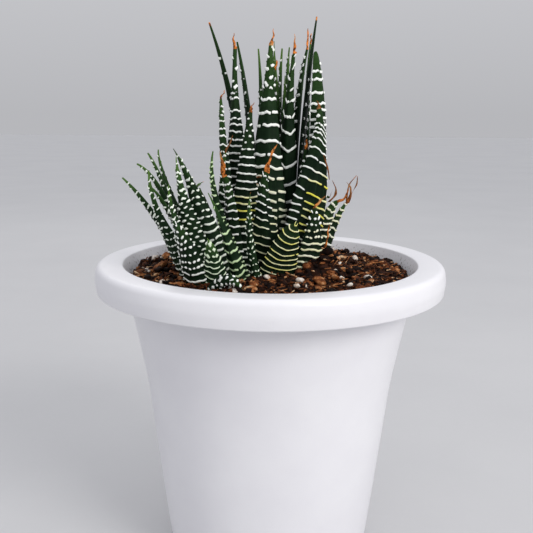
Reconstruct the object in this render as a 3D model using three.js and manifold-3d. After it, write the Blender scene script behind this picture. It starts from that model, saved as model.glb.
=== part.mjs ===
// A potted haworthia: a clump of pointed leaves with raised white bands, in a round plastic pot.
// Millimetres, +Z up, origin in the middle of the pot's foot. The best side looks toward -Y.
import * as THREE from 'three';
import { mergeVertices } from 'three/addons/utils/BufferGeometryUtils.js';
import Module from 'manifold-3d';

const wasm = await Module();
wasm.setup();

// Driving dimensions of the pot
const POT_HEIGHT = 121;
const RIM_RADIUS = 70;
const LIP_RADIUS = 59;
const SKIRT_DEPTH = 10.5;
const NECK_RADIUS = 57.6;
const SHOULDER_RADIUS = 49.6;
const SHOULDER_HEIGHT = 69;
const FOOT_RADIUS = 41.2;
const FOOT_CORNER = 4.5;
const WALL = 2;
const FLOOR = 2.2;
const POT_SIDES = 40;
const DRAIN_RADIUS = 4;
const DRAIN_RING = 26;
const DRAINS = 5;
const DRAIN_SIDES = 12;

// Driving dimensions of the soil
const SOIL_EDGE = 116;
const SOIL_RISE = 2.6;
const SOIL_GAP = 0.4;
const SOIL_SIDES = 32;
const CHIPS = 20;
const CHIP_RING = 26;
const CHIP_TURN = 2.4;
const CHIP_SIZE = 2.2;
const HOLE_FLOOR = 109.6;
const HOLE_DEPTH = 20;
const HOLE_SIDES = 16;

// Driving dimensions of a leaf
const ROOT_HEIGHT = 111.2;
const BAND_SPACING = 5.6;
const BAND_HEIGHT = 0.5;
const BAND_SLOPE = 0.9;
const LEAF_GAP = 0.35;
const ROOT_WIDTH = 0.7;
const ROOT_LENGTH = 0.2;
const TAPER_LENGTH = 0.75;
const TAPER_POWER = 1.1;
const TIP_WIDTH = 0.12;
const TIP_THICKNESS = 0.26;
const FIRST_BAND = 0.1;
const BANDED_LENGTH = 0.86;
const MOST_BANDS = 9;
const SHEATH_RINGS = [-0.04, 0.12, 0.26, 0.45, 0.65, 0.85, 1.01];

// The section of a leaf, in half widths across and thicknesses outward
const EDGE_OUT = -0.2;
const CHEEK_ACROSS = 0.58;
const CHEEK_OUT = 0.28;
const KEEL_OUT = 0.6;
const FACE_OUT = -0.4;

// The mounds of soil beside the plant: middle, width and height
const MOUNDS = [
  [21, -11, 7.5, 9.5],
  [-38, 7, 11, 3],
];

// The plain holes in the soil where the crowns stand: middle and radius
const CROWN_HOLES = [
  [-9, 1, 14],
  [9, 2, 16],
  [-7, -18, 9],
  [-24, -22, 12],
];

// Every leaf of the plant. mid and tip are where its middle line passes halfway up and ends,
// root is where it leaves the crown, face is the way its keeled back looks, in degrees from +X,
// taper is how slender the upper part is, dry is the withered point beyond the tip, bands is the
// number of bands where it isn't worked out from the length, and withered marks a leaf that is
// dry all over. The ones that show most come first.
const LEAVES = [
  // The left crown
  { name: 'left_1', root: [-12, 3], mid: [-12.5, 4, 164], tip: [-24.3, 4, 213.5], width: 11, thick: 2.7,
    face: 190, taper: 1.5 },
  { name: 'left_2', root: [-10, -5], mid: [-13.6, -4, 168], tip: [-14.1, -2, 204], width: 13.2,
    thick: 3, face: 262, taper: 2.4, dry: [-0.4, 0, 5] },
  { name: 'left_3', root: [-4, 8], mid: [-7.9, 10, 168], tip: [-13.8, 12, 207], width: 10, thick: 2.8,
    face: 172, taper: 1.2 },
  { name: 'left_4', root: [-11, -4], mid: [-17, -7.5, 150], tip: [-19.4, -7, 185], width: 5.5,
    thick: 2.6, face: 235, taper: 0.7, dry: [1.6, 0, 2.7] },
  { name: 'left_5', root: [-9.5, -11], mid: [-9.5, -11, 155], tip: [-7.8, -9, 180], width: 10.4,
    thick: 3, face: 268, dry: [1.2, 0, 3.1] },
  { name: 'left_6', root: [-4, 14], mid: [-3.6, 16, 168], tip: [-5.4, 19, 205], width: 7, thick: 2.4,
    face: 175, taper: 1.4, bands: 6 },
  { name: 'left_7', root: [-14, -9], mid: [-15.4, -15, 143], tip: [-17.7, -18, 156], width: 8,
    thick: 2.8, face: 240, dry: [-1.4, -1, 9.5] },
  { name: 'left_8', root: [-19, -7], mid: [-19, -10.5, 146], tip: [-17.2, -12.5, 165], width: 7,
    thick: 2.6, face: 205, dry: [2.7, 0, 6] },
  // The right crown
  { name: 'right_1', root: [0, -5], mid: [-1.4, -4, 165], tip: [-0.3, 0, 205.5], width: 14, thick: 3.6,
    face: 266, taper: 1.45, dry: [0.8, 0, 5.4] },
  { name: 'right_2', root: [10.4, 4.5], mid: [12.4, 5, 168], tip: [17.3, 5, 216], width: 9.5,
    thick: 2.3, face: 2, taper: 1.2 },
  { name: 'right_3', root: [17, -3], mid: [18.7, 0, 166], tip: [16.8, -1, 202.5], width: 9.2, thick: 3,
    face: 300, taper: 0.55 },
  { name: 'right_4', root: [7.5, -11], mid: [16.8, -8, 156], tip: [18.3, -4, 181.5], width: 15.5,
    thick: 3.4, face: 278, taper: 1.3, dry: [-1, 0, 2.5] },
  { name: 'right_5', root: [6, 1.5], mid: [6.4, 3, 168], tip: [8.8, 6, 203], width: 9.6, thick: 3,
    face: 250, taper: 1.4, dry: [0, 0, 6.6] },
  { name: 'right_6', root: [8, 10], mid: [10.2, 10, 172], tip: [14.4, 12, 205], width: 5.5, thick: 3.4,
    face: 165, taper: 0.6, dry: [0, 0, 7.4] },
  { name: 'right_7', root: [4, 12], mid: [3.4, 14, 170], tip: [4.3, 17, 205], width: 8, thick: 2.6,
    face: 175, taper: 1.2, bands: 6 },
  { name: 'right_8', root: [1, 6], mid: [2.8, 9, 164], tip: [1.6, 10, 197], width: 5, thick: 2.4,
    face: 150, dry: [0.4, 0, 3.1], bands: 6 },
  { name: 'right_9', root: [-1, 20], mid: [0.8, 21, 168], tip: [1.1, 24, 208.5], width: 8, thick: 2.6,
    face: 95, taper: 1.3, bands: 6 },
  { name: 'right_10', root: [9, 17], mid: [6.6, 20, 170], tip: [7.4, 23, 206], width: 7, thick: 2.4,
    face: 150, taper: 1.3, bands: 6 },
  { name: 'right_11', root: [5, 7], mid: [4.8, 9, 160], tip: [5.5, 11, 194], width: 6, thick: 2.4,
    face: 130, bands: 6 },
  { name: 'right_12', root: [17, 13], mid: [14.8, 17, 170], tip: [16, 21, 208], width: 5.5, thick: 2.6,
    face: 30, taper: 1.2, dry: [0, 0, 3.5], bands: 6 },
  { name: 'right_13', root: [0.5, -12], mid: [-2.8, -16, 143], tip: [-1.6, -18, 158], width: 11,
    thick: 3, face: 264, taper: 1.5, dry: [3.6, 0, 10] },
  { name: 'right_14', root: [1.5, -17], mid: [5.2, -21, 128.5], tip: [9.9, -21, 139.5], width: 13.5,
    thick: 3, face: 278, taper: 0.75 },
  { name: 'right_15', root: [19, 0], mid: [24.6, 3, 131], tip: [30.7, 3, 144], width: 6.5, thick: 2.6,
    face: 325, taper: 0.6, dry: [3.5, 0, 13] },
  { name: 'right_16', root: [16, -7], mid: [21.6, -5, 136], tip: [26.5, -6, 145.5], width: 8.5,
    thick: 2.8, face: 300, taper: 0.7, dry: [4, 0, 6] },
  { name: 'right_17', root: [18, 7], mid: [20.6, 11, 138], tip: [24.6, 12, 145], width: 6.5, thick: 2.4,
    face: 10, taper: 0.8, dry: [1.5, 0, 7] },
  { name: 'right_18', root: [13, -14], mid: [16.2, -13.8, 131], tip: [16.8, -13.6, 144], width: 10,
    thick: 2.6, face: 285, taper: 0.8, dry: [4, 0, 4.5] },
  { name: 'right_19', root: [19, -10], mid: [21, -9.5, 125], tip: [22.2, -9, 131], width: 4.8,
    thick: 1.6, face: 10, dry: [0.6, 0, 5.5], withered: true },
  // The leaves between the crowns and the offset
  { name: 'front_1', root: [-3.6, -25], mid: [-7.6, -27, 133], tip: [-7.5, -28, 151], width: 3.6,
    thick: 3.6, face: 272, taper: 1.2 },
  { name: 'front_2', root: [-7.5, -17], mid: [-19.9, -16, 143], tip: [-21.8, -16, 165], width: 6.5,
    thick: 2.6, face: 225, taper: 2.2 },
  { name: 'front_3', root: [-9.5, -27], mid: [-16.4, -30, 135.5], tip: [-22.6, -31, 151], width: 5.2,
    thick: 3, face: 252, taper: 2 },
  // The offset on the left
  { name: 'offset_1', root: [-26, -23], mid: [-41, -26, 139.5], tip: [-53.7, -28, 156], width: 7.6,
    thick: 2.4, face: 205, taper: 2.8 },
  { name: 'offset_2', root: [-27, -19], mid: [-38.6, -20, 146], tip: [-49.7, -20, 160.5], width: 7.6,
    thick: 2.4, face: 182, taper: 2.8 },
  { name: 'offset_3', root: [-24.5, -27], mid: [-39.4, -30, 140], tip: [-43.3, -33, 159], width: 9.5,
    thick: 2.4, face: 230, taper: 3 },
  { name: 'offset_4', root: [-26, -15], mid: [-39.3, -14, 148.5], tip: [-47, -11, 164], width: 7.6,
    thick: 2.4, face: 170, taper: 2.8 },
  { name: 'offset_5', root: [-23, -14], mid: [-38.9, -9, 148], tip: [-43.8, -5, 165], width: 7.8,
    thick: 2.4, face: 150, taper: 2.8 },
  { name: 'offset_6', root: [-22, -24.5], mid: [-36, -24, 140.5], tip: [-44.5, -24, 152.5], width: 10,
    thick: 2.4, face: 190, taper: 3 },
  { name: 'offset_7', root: [-24, -29], mid: [-33.6, -35, 140], tip: [-35.8, -37, 154.5], width: 7,
    thick: 2.4, face: 250, taper: 2.3 },
  { name: 'offset_8', root: [-24, -24], mid: [-31.8, -26, 146], tip: [-34.7, -24, 163], width: 12,
    thick: 3, face: 258, taper: 2.5 },
  { name: 'offset_9', root: [-17, -22], mid: [-27, -22, 146], tip: [-36.4, -18, 166], width: 10.5,
    thick: 3, face: 290, taper: 2.1 },
  { name: 'offset_10', root: [-26, -14], mid: [-31, -11, 141], tip: [-26, -8, 153], width: 6,
    thick: 2.4, face: 60 },
  { name: 'offset_11', root: [-25, -33], mid: [-30, -37, 132], tip: [-34, -40, 142], width: 9.5,
    thick: 2.8, face: 248, taper: 1 },
  { name: 'offset_12', root: [-19, -33], mid: [-20.6, -38, 128], tip: [-22.3, -40, 136], width: 8.5,
    thick: 2.8, face: 272, taper: 1 },
  { name: 'offset_13', root: [-22, -36], mid: [-16, -42.5, 121], tip: [-10, -47, 119.5], width: 7,
    thick: 2.4, face: 280 },
  // The leaves on the far side
  { name: 'back_1', root: [-14, 11], mid: [-16, 19, 145], tip: [-17, 26, 168], width: 11, thick: 3,
    face: 125, bands: 6 },
  { name: 'back_2', root: [-7, 19], mid: [-8, 29, 143], tip: [-9, 37, 166], width: 12, thick: 3,
    face: 105, bands: 6 },
  { name: 'back_3', root: [4, 24], mid: [4, 33, 142], tip: [4, 42, 165], width: 12, thick: 3, face: 90,
    bands: 6 },
  { name: 'back_4', root: [-20, 7], mid: [-25, 13, 132], tip: [-30, 18, 148], width: 10, thick: 2.8,
    face: 150, bands: 5 },
  // A leaf of the right crown, half hidden behind the one that bows out on its right
  { name: 'right_20', root: [10.5, -3], mid: [11.8, -4, 142], tip: [13.6, -3, 166], width: 9,
    thick: 2.4, face: 268, taper: 1.5, dry: [0.1, 0, 3.4], bands: 4 },
];

const COLOURS = {
  pot: { color: '#e9e7ee', roughness: 0.35, metalness: 0 },
  soil: { color: '#3a2519', roughness: 0.95, metalness: 0 },
  leaf: { color: '#24401f', roughness: 0.45, metalness: 0 },
  witheredLeaf: { color: '#a3622c', roughness: 0.85, metalness: 0 },
};

// Solids
function toSolid(geometry) {
  geometry.deleteAttribute('normal');
  geometry.deleteAttribute('uv');
  const merged = mergeVertices(geometry, 1e-4);
  const mesh = new wasm.Mesh({
    numProp: 3,
    vertProperties: new Float32Array(merged.attributes.position.array),
    triVerts: new Uint32Array(merged.index.array),
  });
  return new wasm.Manifold(mesh);
}

function toGeometry(solid) {
  const mesh = solid.getMesh();
  const geometry = new THREE.BufferGeometry();
  geometry.setAttribute('position', new THREE.BufferAttribute(mesh.vertProperties, 3));
  geometry.setIndex(new THREE.BufferAttribute(mesh.triVerts, 1));
  geometry.computeVertexNormals();
  return geometry;
}

// The one body to keep when a cut leaves loose scraps beside it
function largestBody(solid) {
  const bodies = solid.decompose();
  return bodies.reduce((best, body) => (body.volume() > best.volume() ? body : best));
}

function boxesMeet(a, b) {
  const first = a.boundingBox();
  const second = b.boundingBox();
  return [0, 1, 2].every((i) => first.min[i] < second.max[i] && second.min[i] < first.max[i]);
}

// A closed body through a row of rings that all have the same number of points
function loft(rings) {
  const sides = rings[0].length;
  const positions = rings.flat().flatMap((point) => [point.x, point.y, point.z]);
  const index = [];
  for (let row = 0; row < rings.length - 1; row += 1) {
    for (let side = 0; side < sides; side += 1) {
      const a = row * sides + side;
      const b = row * sides + ((side + 1) % sides);
      index.push(a, b, b + sides, a, b + sides, a + sides);
    }
  }
  const last = (rings.length - 1) * sides;
  for (let side = 1; side < sides - 1; side += 1) {
    index.push(0, side + 1, side);
    index.push(last, last + side, last + side + 1);
  }
  const geometry = new THREE.BufferGeometry();
  geometry.setAttribute('position', new THREE.Float32BufferAttribute(positions, 3));
  geometry.setIndex(index);
  return geometry;
}

// Pot
function bodyRadius(z) {
  if (z > SHOULDER_HEIGHT) {
    const up = (z - SHOULDER_HEIGHT) / (POT_HEIGHT - SKIRT_DEPTH - SHOULDER_HEIGHT);
    return THREE.MathUtils.lerp(SHOULDER_RADIUS, NECK_RADIUS, Math.pow(up, 1.1));
  }
  return THREE.MathUtils.lerp(FOOT_RADIUS, SHOULDER_RADIUS, Math.pow(z / SHOULDER_HEIGHT, 0.95));
}

function lathe(profile, sides) {
  const points = profile.map(([radius, z]) => new THREE.Vector2(radius, z));
  const geometry = new THREE.LatheGeometry(points, sides);
  geometry.rotateX(Math.PI / 2);
  return geometry;
}

function makePot() {
  const top = POT_HEIGHT;
  const skirtFoot = top - SKIRT_DEPTH;
  const outside = [[0, 0], [FOOT_RADIUS - FOOT_CORNER, 0], [FOOT_RADIUS - 1.3, 1.3]];
  for (const z of [FOOT_CORNER, 24, 46, SHOULDER_HEIGHT, 83, 97, skirtFoot]) {
    outside.push([bodyRadius(z), z]);
  }
  const skirt = [
    [NECK_RADIUS + 1.2, top - 3.2], [RIM_RADIUS - 3.6, top - 4],
    [RIM_RADIUS - 2.4, skirtFoot], [RIM_RADIUS - 0.7, skirtFoot],
    [RIM_RADIUS, top - 6], [RIM_RADIUS - 0.8, top - 2], [RIM_RADIUS - 2.9, top],
    [LIP_RADIUS + 0.8, top], [LIP_RADIUS, top - 0.9],
  ];
  const inside = [];
  for (const z of [skirtFoot, 97, 83, SHOULDER_HEIGHT, 24, FOOT_CORNER + 1]) {
    inside.push([bodyRadius(z) - WALL, z]);
  }
  inside.push([FOOT_RADIUS - FOOT_CORNER, FLOOR], [0, FLOOR]);
  let pot = toSolid(lathe([...outside, ...skirt, ...inside], POT_SIDES));
  for (let i = 0; i < DRAINS; i += 1) {
    const turn = (i / DRAINS) * 2 * Math.PI;
    const drain = new THREE.CylinderGeometry(DRAIN_RADIUS, DRAIN_RADIUS, 4 * FLOOR, DRAIN_SIDES);
    drain.rotateX(Math.PI / 2);
    drain.translate(DRAIN_RING * Math.sin(turn), DRAIN_RING * Math.cos(turn), 0);
    pot = pot.subtract(toSolid(drain));
  }
  return pot;
}

// Soil
function seededRandom(seed) {
  let state = seed;
  return () => {
    state = (state * 1664525 + 1013904223) % 4294967296;
    return state / 4294967296;
  };
}

function soilHeight(x, y) {
  const out = Math.hypot(x, y) / LIP_RADIUS;
  const lumps = 0.7 * Math.sin(x * 0.31 + 1.3) * Math.cos(y * 0.27) + 0.5 * Math.sin(x * 0.11 - y * 0.63);
  let height = SOIL_EDGE + SOIL_RISE * Math.max(0, 1 - out * out) + lumps;
  for (const [middleX, middleY, wide, high] of MOUNDS) {
    height += high * Math.exp(-((x - middleX) ** 2 + (y - middleY) ** 2) / wide ** 2);
  }
  return height;
}

function makeSoil(sheaths) {
  const rings = [];
  const ring = (radius, z) => Array.from({ length: SOIL_SIDES }, (_, i) => {
    const turn = (i / SOIL_SIDES) * 2 * Math.PI;
    const x = radius * Math.cos(turn);
    const y = radius * Math.sin(turn);
    return new THREE.Vector3(x, y, z === undefined ? soilHeight(x, y) : z);
  });
  const bottom = FLOOR + 0.3;
  rings.push(ring(FOOT_RADIUS - FOOT_CORNER - 0.9, bottom));
  for (const z of [24, SHOULDER_HEIGHT, 97]) {
    rings.push(ring(bodyRadius(z) - WALL - SOIL_GAP - 0.1, z));
  }
  const edge = bodyRadius(POT_HEIGHT - SKIRT_DEPTH) - WALL - SOIL_GAP;
  for (const radius of [edge, 50, 43, 36, 28, 20, 10, 1]) {
    rings.push(ring(radius));
  }
  let soil = toSolid(loft(rings));
  soil = addChips(soil);
  for (const [x, y, radius] of CROWN_HOLES) {
    const hole = new THREE.CylinderGeometry(radius, radius, HOLE_DEPTH, HOLE_SIDES);
    hole.rotateX(Math.PI / 2);
    hole.translate(x, y, HOLE_FLOOR + HOLE_DEPTH / 2);
    soil = soil.subtract(toSolid(hole));
  }
  for (const sheath of sheaths) {
    soil = soil.subtract(sheath);
  }
  return largestBody(soil);
}

// Chips of bark and grit, sunk into the top of the soil
function addChips(soil) {
  const random = seededRandom(11);
  let result = soil;
  for (let i = 0; i < CHIPS; i += 1) {
    const turn = i * CHIP_TURN;
    const radius = CHIP_RING * (1 + Math.sqrt((i + 0.5) / CHIPS));
    const x = radius * Math.cos(turn);
    const y = radius * Math.sin(turn);
    const size = CHIP_SIZE * (1 + random());
    const chip = new THREE.BoxGeometry(size * 1.5, size, size * 0.7);
    chip.rotateX(random() - 0.5);
    chip.rotateY(random() - 0.5);
    chip.rotateZ(random() * Math.PI);
    chip.translate(x, y, soilHeight(x, y) + 0.1 * size);
    result = result.add(toSolid(chip));
  }
  return result;
}

// Leaves
function leafFrame(leaf, s) {
  const root = new THREE.Vector3(leaf.root[0], leaf.root[1], ROOT_HEIGHT);
  const tip = new THREE.Vector3(...leaf.tip);
  const bend = new THREE.Vector3(...leaf.mid).multiplyScalar(2)
    .addScaledVector(root, -0.5).addScaledVector(tip, -0.5);
  const curve = new THREE.QuadraticBezierCurve3(root, bend, tip);
  const way = THREE.MathUtils.clamp(s, 0, 1);
  const point = curve.getPointAt(way);
  const along = curve.getTangentAt(way);
  point.addScaledVector(along, (s - way) * curve.getLength());
  const turn = THREE.MathUtils.degToRad(leaf.face);
  const out = new THREE.Vector3(Math.cos(turn), Math.sin(turn), 0);
  out.addScaledVector(along, -out.dot(along)).normalize();
  const side = new THREE.Vector3().crossVectors(out, along);
  return { point, along, out, side };
}

function leafHalfWidth(leaf, s) {
  const fromTip = Math.max(0, 1 - s);
  const swell = Math.sin((Math.PI / 2) * Math.min(1, fromTip / TAPER_LENGTH));
  const taper = TIP_WIDTH + (1 - TIP_WIDTH) * Math.pow(swell, leaf.taper ?? TAPER_POWER);
  const root = THREE.MathUtils.lerp(ROOT_WIDTH, 1, THREE.MathUtils.smoothstep(s, 0, ROOT_LENGTH));
  return (leaf.width / 2) * taper * root;
}

function leafThickness(leaf, s) {
  const fromTip = Math.max(0, 1 - s);
  const swell = Math.sin((Math.PI / 2) * Math.min(1, 2 * fromTip));
  return leaf.thick * (TIP_THICKNESS + (1 - TIP_THICKNESS) * swell);
}

// The six-sided section of a leaf: a nearly flat inner face and a keeled back. A band lifts the
// back by `lift`, and a sheath is grown all round by `extra`.
function leafRing(leaf, s, extra, lift) {
  const { point, out, side } = leafFrame(leaf, s);
  const half = leafHalfWidth(leaf, s);
  const thick = leafThickness(leaf, s);
  const at = (across, outward) => point.clone()
    .addScaledVector(side, across).addScaledVector(out, outward);
  const edge = half + lift * 0.6 + extra * 1.3;
  const edgeOut = EDGE_OUT * thick - extra * 0.1;
  const cheek = CHEEK_ACROSS * half + lift * 0.5 + extra * 0.6;
  const cheekOut = CHEEK_OUT * thick + lift * 0.8 + extra * 0.9;
  return [
    at(edge, edgeOut),
    at(cheek, cheekOut),
    at(0, KEEL_OUT * thick + lift + extra * 1.1),
    at(-cheek, cheekOut),
    at(-edge, edgeOut),
    at(0, FACE_OUT * thick - extra * 1.1),
  ];
}

function leafLength(leaf) {
  const root = new THREE.Vector3(leaf.root[0], leaf.root[1], ROOT_HEIGHT);
  const mid = new THREE.Vector3(...leaf.mid);
  return root.distanceTo(mid) + mid.distanceTo(new THREE.Vector3(...leaf.tip));
}

// The withered point: a flat wisp that carries on from the tip
function dryRings(leaf, extra) {
  const { point, out, side } = leafFrame(leaf, 1);
  const reach = new THREE.Vector3(...leaf.dry);
  return [[0.45, 0.55, 0.45], [1, 0.32, 0.35]].map(([way, half, thick]) => {
    const at = (across, outward) => point.clone().addScaledVector(reach, way)
      .addScaledVector(side, across).addScaledVector(out, outward);
    return [
      at(half + extra, 0), at(0.5 * half + extra * 0.6, thick + extra), at(0, thick + extra),
      at(-0.5 * half - extra * 0.6, thick + extra), at(-half - extra, 0), at(0, -thick - extra),
    ];
  });
}

function makeLeaf(leaf) {
  const length = leafLength(leaf);
  const bands = leaf.bands ?? Math.min(MOST_BANDS, Math.round((0.9 * length) / BAND_SPACING));
  const rings = [leafRing(leaf, 0, 0, 0)];
  for (let band = 0; band < bands; band += 1) {
    const s = FIRST_BAND + (BANDED_LENGTH * (band + 0.5)) / bands;
    const lift = BAND_HEIGHT * (1 - 0.5 * s);
    rings.push(leafRing(leaf, s, 0, lift));
    rings.push(leafRing(leaf, s + BAND_SLOPE / length, 0, 0));
  }
  rings.push(leafRing(leaf, 1, 0, 0));
  if (leaf.dry) rings.push(...dryRings(leaf, 0));
  return toSolid(loft(rings));
}

// A plain, slightly larger leaf that keeps its neighbours clear
function makeSheath(leaf) {
  const extra = LEAF_GAP + BAND_HEIGHT;
  const rings = SHEATH_RINGS.map((s) => leafRing(leaf, s, extra, 0));
  if (leaf.dry) rings.push(...dryRings(leaf, extra));
  return toSolid(loft(rings));
}

function makeLeaves() {
  const made = [];
  for (const leaf of LEAVES) {
    let solid = makeLeaf(leaf);
    for (const other of made) {
      if (boxesMeet(solid, other.sheath)) solid = solid.subtract(other.sheath);
    }
    const look = leaf.withered ? COLOURS.witheredLeaf : COLOURS.leaf;
    made.push({ name: `leaf_${leaf.name}`, solid: largestBody(solid), sheath: makeSheath(leaf), look });
  }
  return made;
}

// The whole object
const plant = new THREE.Group();

function addPart(name, solid, look) {
  const mesh = new THREE.Mesh(toGeometry(solid), new THREE.MeshStandardMaterial(look));
  mesh.name = name;
  plant.add(mesh);
}

const leaves = makeLeaves();
addPart('pot', makePot(), COLOURS.pot);
addPart('soil', makeSoil(leaves.map((leaf) => leaf.sheath)), COLOURS.soil);
for (const leaf of leaves) {
  addPart(leaf.name, leaf.solid, leaf.look);
}

export default plant;
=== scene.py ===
# A potted haworthia: keeled leaves with raised white bands and withered points, in two crowns with an
# offset beside them, in loose bark soil in a round white plastic pot with a deep rim.
import math
import random
import bpy
import bmesh
import numpy as np
from mathutils import Euler, Matrix, Vector, noise


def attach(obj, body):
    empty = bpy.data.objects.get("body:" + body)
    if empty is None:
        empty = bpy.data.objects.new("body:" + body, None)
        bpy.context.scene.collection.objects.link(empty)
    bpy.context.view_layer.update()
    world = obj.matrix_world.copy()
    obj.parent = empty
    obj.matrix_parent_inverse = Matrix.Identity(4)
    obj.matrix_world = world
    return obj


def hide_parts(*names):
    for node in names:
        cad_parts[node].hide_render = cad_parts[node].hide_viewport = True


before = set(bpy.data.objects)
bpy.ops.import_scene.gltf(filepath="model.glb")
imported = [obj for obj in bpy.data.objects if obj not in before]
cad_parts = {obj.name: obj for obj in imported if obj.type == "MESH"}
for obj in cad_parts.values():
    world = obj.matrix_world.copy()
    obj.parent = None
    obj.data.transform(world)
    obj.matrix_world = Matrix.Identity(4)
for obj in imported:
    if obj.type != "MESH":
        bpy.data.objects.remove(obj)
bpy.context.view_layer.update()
scene = bpy.context.scene
MM = 0.001

# The camera, in millimetres and degrees
CAMERA_AT = (-1.5, -300.0, 178.8)
CAMERA_DOWN = 11.46
CAMERA_ROLL = 0.4
CAMERA_LENS = 50.72
CAMERA_SENSOR = 36.0

# The pot, in millimetres
POT_HEIGHT = 121.0
RIM_RADIUS = 70.0
LIP_RADIUS = 59.0
SKIRT_DEPTH = 10.5
NECK_RADIUS = 57.6
SHOULDER_RADIUS = 49.6
SHOULDER_HEIGHT = 69.0
FOOT_RADIUS = 41.2
POT_WALL = 2.0
POT_FLOOR = 2.2
DRAIN_RADIUS = 4.0
DRAIN_RING = 26.0
DRAINS = 5
POT_STEPS = 180
DRAIN_SIDES = 32
OUTER_HEIGHTS = (6, 12, 18, 24, 31, 38, 46, 54, 62, 69, 76, 83, 90, 97, 104, 110)
INNER_HEIGHTS = (110, 104, 97, 90, 83, 69, 54, 38, 24, 12, 6)
SPLASH_TOP, SPLASH_FULL = 120.5, 115.0

# The soil, in millimetres
SOIL_EDGE = 116.0
SOIL_RISE = 2.6
SOIL_GAP = 0.4
SOIL_HEIGHTS = (8, 24, 46, 69, 83, 97, 106, 110)
SOIL_STEPS = 320
SOIL_RINGS = 96
SURFACE_ABOVE = 112.5
# Mounds: middle, width and height. Crowns, where no loose bits lie: middle and radius
MOUNDS = [(21, -11, 7.5, 9.5), (-38, 7, 11, 3.0)]
CROWN_PLACES = [(-9, 1, 12), (9, 2, 14), (-7, -18, 8), (-24, -22, 10)]
LOOSE_REACH = 54.0
LUMPS = 620
CRUMBS = 3200
FIBRES = 700
LOOSE_GRIT = 40
CHIP_SEED, FIBRE_SEED, GRIT_SEED = 5, 8, 3

# A leaf, in millimetres and shares of its length
ROOT_HEIGHT = 111.2
ROOT_WIDTH = 0.7
ROOT_LENGTH = 0.2
TAPER_LENGTH = 0.75
TAPER_POWER = 1.1
TIP_WIDTH = 0.12
TIP_THICKNESS = 0.26
BACK_COLUMNS = 30
FACE_COLUMNS = 10
RIDGE_OFFSETS = (-0.60, -0.35, -0.14, 0.14, 0.35, 0.60)
RIDGE_PROFILE = {0.60: 0.0, 0.35: 0.66, 0.14: 1.0}
RIDGE_HEIGHT = 0.42
DOT_HEIGHT = 0.50
DOT_RADIUS = 0.70
DOT_SPACE = 2.3
DOTS_ACROSS = 4
DOTS_KEPT = 0.97
DOTS_FROM = 168
MOST_ROOM = 9
PLAIN_STEP = 0.75
TIP_STEP = 0.6
TALL_LEAF = 175
LEAF_SEED = 100
WISP_ROWS = 14


def leaf(name, root, mid, tip, width, thick, face, **looks):
    """One leaf. root, mid and tip are where its middle line leaves the crown, passes halfway up and
    ends. face is the way its keeled back looks, in degrees from +X.

    The looks of its shape: taper, how slender the upper part is; end, the width of the tip as a share
    of the leaf's; blunt, a whole end; wisp, where the withered point ends, seen from the tip; broad and
    curl, how wide and how bent that point is.
    The looks of its bands: rows, their heights; pitch, the way between the rest; dots, the height above
    which they break up into dots; bare, the height above which there are none; bold, how thick they
    are; slant, arch and wavy, how they run across; split, (across, below, slant, step), the place
    across and the height below which they jump, their slant there and the jump; dot, space and dash,
    how big, how far apart and how long the dots are.
    The looks of its colour: shade, dark to light green; fresh, pale green in the bands; gold, (low,
    high, amount) of yellow bands, with a fourth value where they are yellow only right of that place
    across; scars, (across, height, radius) of withered spots; burnt, a brown tip; brown, how dark the
    withered point is; withered, a leaf dry all over."""
    return dict(name=name, root=root, mid=mid, tip=tip, width=width, thick=thick, face=face, **looks)


# The looks that the offset's narrow leaves share
NARROW = dict(bold=0.9, dot=0.62, space=1.5, pitch=2.3, dash=1.6, fresh=0.15)

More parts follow.
